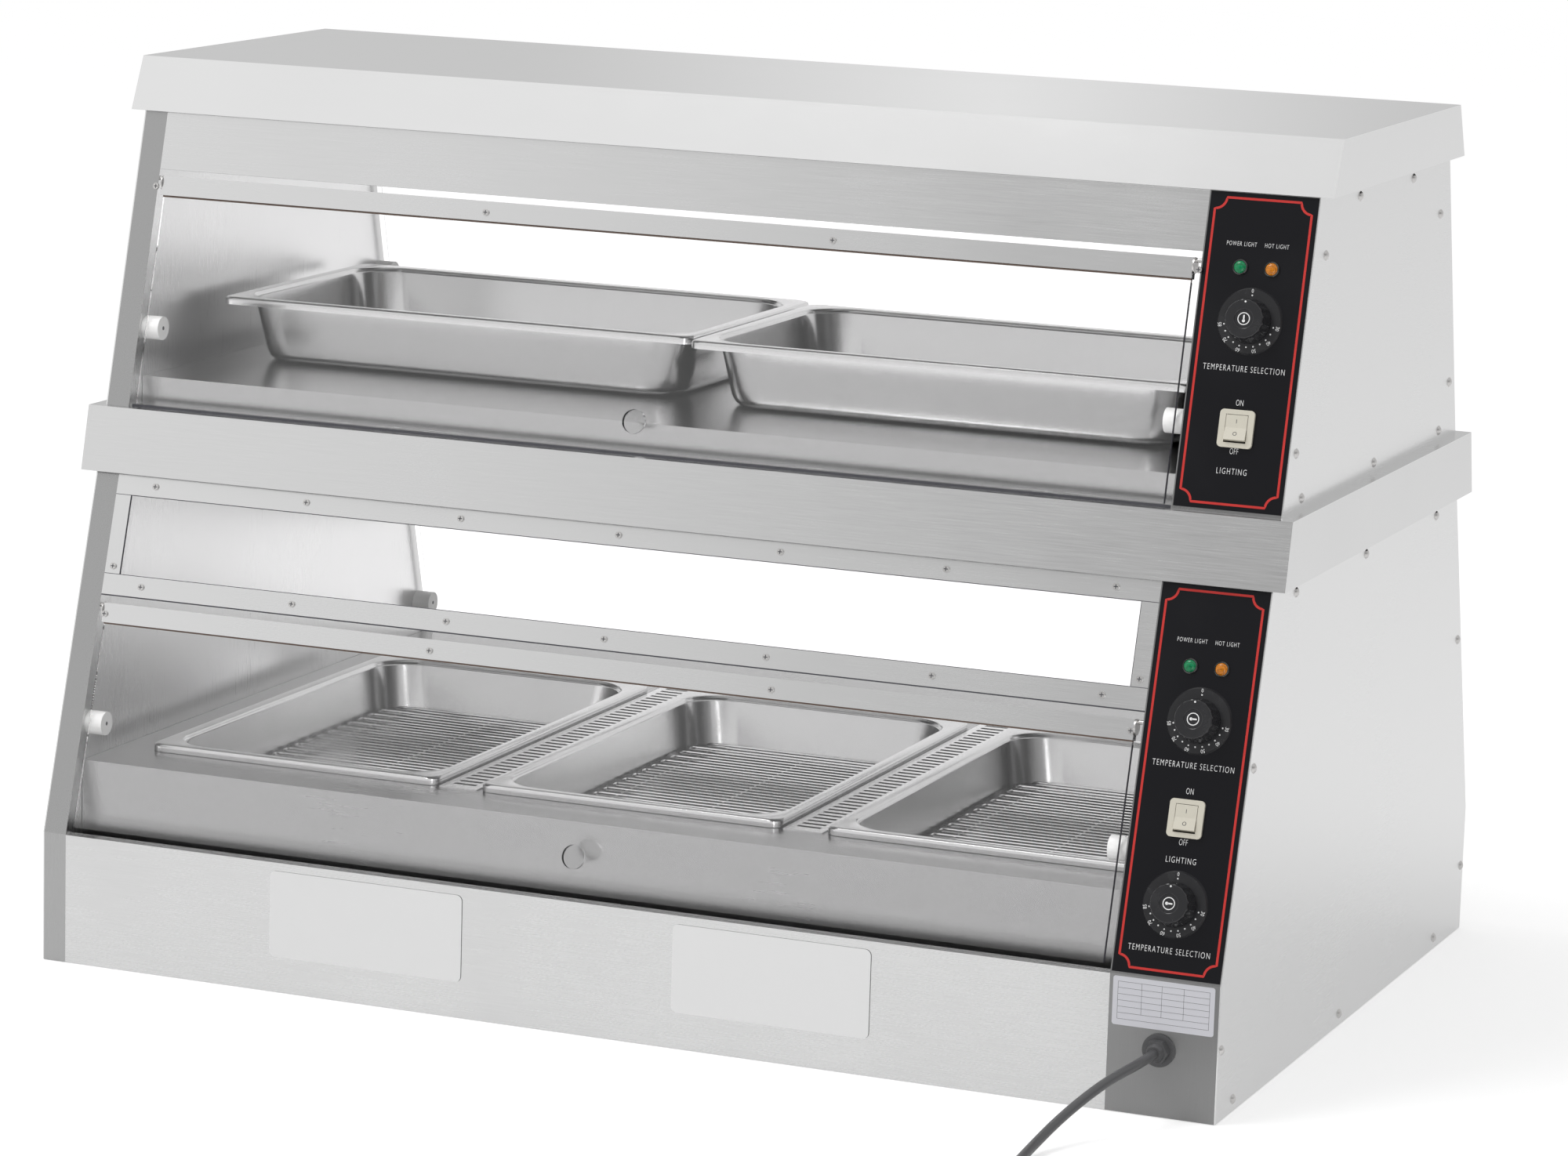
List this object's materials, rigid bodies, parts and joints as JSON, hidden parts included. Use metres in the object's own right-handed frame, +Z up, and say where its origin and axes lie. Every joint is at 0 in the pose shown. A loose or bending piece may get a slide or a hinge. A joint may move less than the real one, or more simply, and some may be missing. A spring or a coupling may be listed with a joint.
{
  "type": "heated food display cabinet",
  "caption": "Heated food display cabinet with stacked decks, leaning clear flaps on both long sides, lift-out pans with wire racks, and a column of dials and rocker switches.",
  "frame": {"origin": "centre of the footprint at floor level, measured without the mains cord", "axes": "+X along the long side towards the control column, +Y from the side with the controls to the far side, +Z up"},
  "size_m": [1.28, 1.3805, 0.903],
  "materials": {
    "steel_sheet": "fine brushed",
    "pan_steel": "satin",
    "rack_wire": "bright",
    "screw_steel": "plain",
    "heater_steel": "heat-stained",
    "clear_panel": "clear",
    "lamp_glass": "frosted",
    "black_panel": "satin black",
    "dial_black": "glossy",
    "switch_beige": "beige",
    "lamp_green": "tinted lens",
    "lamp_amber": "tinted lens",
    "case_plastic": "plain",
    "stop_white": "milky white",
    "cord_rubber": "matt"
  },
  "bodies": {
    "cabinet": {"amber_indicators": "lamp_amber", "base_plate": "steel_sheet", "cable_gland": "cord_rubber", "control_plates": "black_panel", "cord_coil": "cord_rubber", "cord_run": "cord_rubber", "dial_rings": "dial_black", "fixed_windows": "clear_panel", "flap_stops": "stop_white", "green_indicators": "lamp_green", "heat_deck": "steel_sheet", "heater_brackets": "steel_sheet", "heaters": "heater_steel", "lamp_holders": "case_plastic", "lamp_tubes": "lamp_glass", "lower_ceiling": "steel_sheet", "lower_column": "steel_sheet", "lower_left_channel": "steel_sheet", "lower_side_panels": "steel_sheet", "middle_cover": "steel_sheet", "plug": "cord_rubber", "side_screws": "screw_steel", "sill_panels": "steel_sheet", "switch_bodies": "switch_beige", "thermostats": "case_plastic", "top_cover": "steel_sheet", "upper_ceiling": "steel_sheet", "upper_column": "steel_sheet", "upper_fascias": "steel_sheet", "upper_left_channel": "steel_sheet", "upper_shelf": "steel_sheet", "upper_side_panels": "steel_sheet", "vent_strips": "steel_sheet", "window_screws": "screw_steel", "window_strips": "steel_sheet"},
    "front_lower_flap": {"front_lower_flap_rail": "steel_sheet", "front_lower_flap_pane": "clear_panel", "front_lower_flap_fittings": "screw_steel"},
    "front_upper_flap": {"front_upper_flap_rail": "steel_sheet", "front_upper_flap_pane": "clear_panel", "front_upper_flap_fittings": "screw_steel"},
    "back_lower_flap": {"back_lower_flap_rail": "steel_sheet", "back_lower_flap_pane": "clear_panel", "back_lower_flap_fittings": "screw_steel"},
    "back_upper_flap": {"back_upper_flap_rail": "steel_sheet", "back_upper_flap_pane": "clear_panel", "back_upper_flap_fittings": "screw_steel"},
    "knob_lower": {"knob_lower": "dial_black"},
    "knob_base": {"knob_base": "dial_black"},
    "knob_upper": {"knob_upper": "dial_black"},
    "rocker_lower": {"rocker_lower": "switch_beige"},
    "rocker_upper": {"rocker_upper": "switch_beige"},
    "lower_pan_left": {"lower_pan_left": "pan_steel", "rack_left": "rack_wire"},
    "lower_pan_middle": {"lower_pan_middle": "pan_steel", "rack_middle": "rack_wire"},
    "lower_pan_right": {"lower_pan_right": "pan_steel", "rack_right": "rack_wire"},
    "upper_pan_left": {"upper_pan_left": "pan_steel"},
    "upper_pan_right": {"upper_pan_right": "pan_steel"}
  },
  "joints": [
    {"name": "front_lower_flap_hinge", "type": "hinge", "parent": "cabinet", "child": "front_lower_flap", "pos_m": [-0.0415, -0.34943, 0.35856], "axis": [-1, 0, 0], "range_deg": [0, 80]},
    {"name": "front_upper_flap_hinge", "type": "hinge", "parent": "cabinet", "child": "front_upper_flap", "pos_m": [-0.0415, -0.2333, 0.78257], "axis": [-1, 0, 0], "range_deg": [0, 80]},
    {"name": "back_lower_flap_hinge", "type": "hinge", "parent": "cabinet", "child": "back_lower_flap", "pos_m": [-0.0415, 0.35563, 0.35856], "axis": [1, 0, 0], "range_deg": [0, 80]},
    {"name": "back_upper_flap_hinge", "type": "hinge", "parent": "cabinet", "child": "back_upper_flap", "pos_m": [-0.0415, 0.2395, 0.78257], "axis": [1, 0, 0], "range_deg": [0, 80]},
    {"name": "knob_lower_turn", "type": "hinge", "parent": "cabinet", "child": "knob_lower", "pos_m": [0.5715, -0.36185, 0.36951], "axis": [0, 0.9594, -0.2822], "range_deg": [0, 265]},
    {"name": "knob_base_turn", "type": "hinge", "parent": "cabinet", "child": "knob_base", "pos_m": [0.5715, -0.41067, 0.20354], "axis": [0, 0.9594, -0.2822], "range_deg": [0, 265]},
    {"name": "knob_upper_turn", "type": "hinge", "parent": "cabinet", "child": "knob_upper", "pos_m": [0.5715, -0.26148, 0.73412], "axis": [0, 0.9675, -0.253], "range_deg": [0, 265]},
    {"name": "rocker_lower_tilt", "type": "hinge", "parent": "cabinet", "child": "rocker_lower", "pos_m": [0.5715, -0.37342, 0.27702], "axis": [1, 0, 0], "range_deg": [0, 14]},
    {"name": "rocker_upper_tilt", "type": "hinge", "parent": "cabinet", "child": "rocker_upper", "pos_m": [0.5715, -0.27277, 0.63164], "axis": [1, 0, 0], "range_deg": [0, 14]},
    {"name": "lower_pan_left_lift", "type": "slide", "parent": "cabinet", "child": "lower_pan_left", "axis": [0, 0, 1], "range_m": [0, 0.12]},
    {"name": "lower_pan_middle_lift", "type": "slide", "parent": "cabinet", "child": "lower_pan_middle", "axis": [0, 0, 1], "range_m": [0, 0.12]},
    {"name": "lower_pan_right_lift", "type": "slide", "parent": "cabinet", "child": "lower_pan_right", "axis": [0, 0, 1], "range_m": [0, 0.12]},
    {"name": "upper_pan_left_lift", "type": "slide", "parent": "cabinet", "child": "upper_pan_left", "axis": [0, 0, 1], "range_m": [0, 0.12]},
    {"name": "upper_pan_right_lift", "type": "slide", "parent": "cabinet", "child": "upper_pan_right", "axis": [0, 0, 1], "range_m": [0, 0.12]}
  ]
}
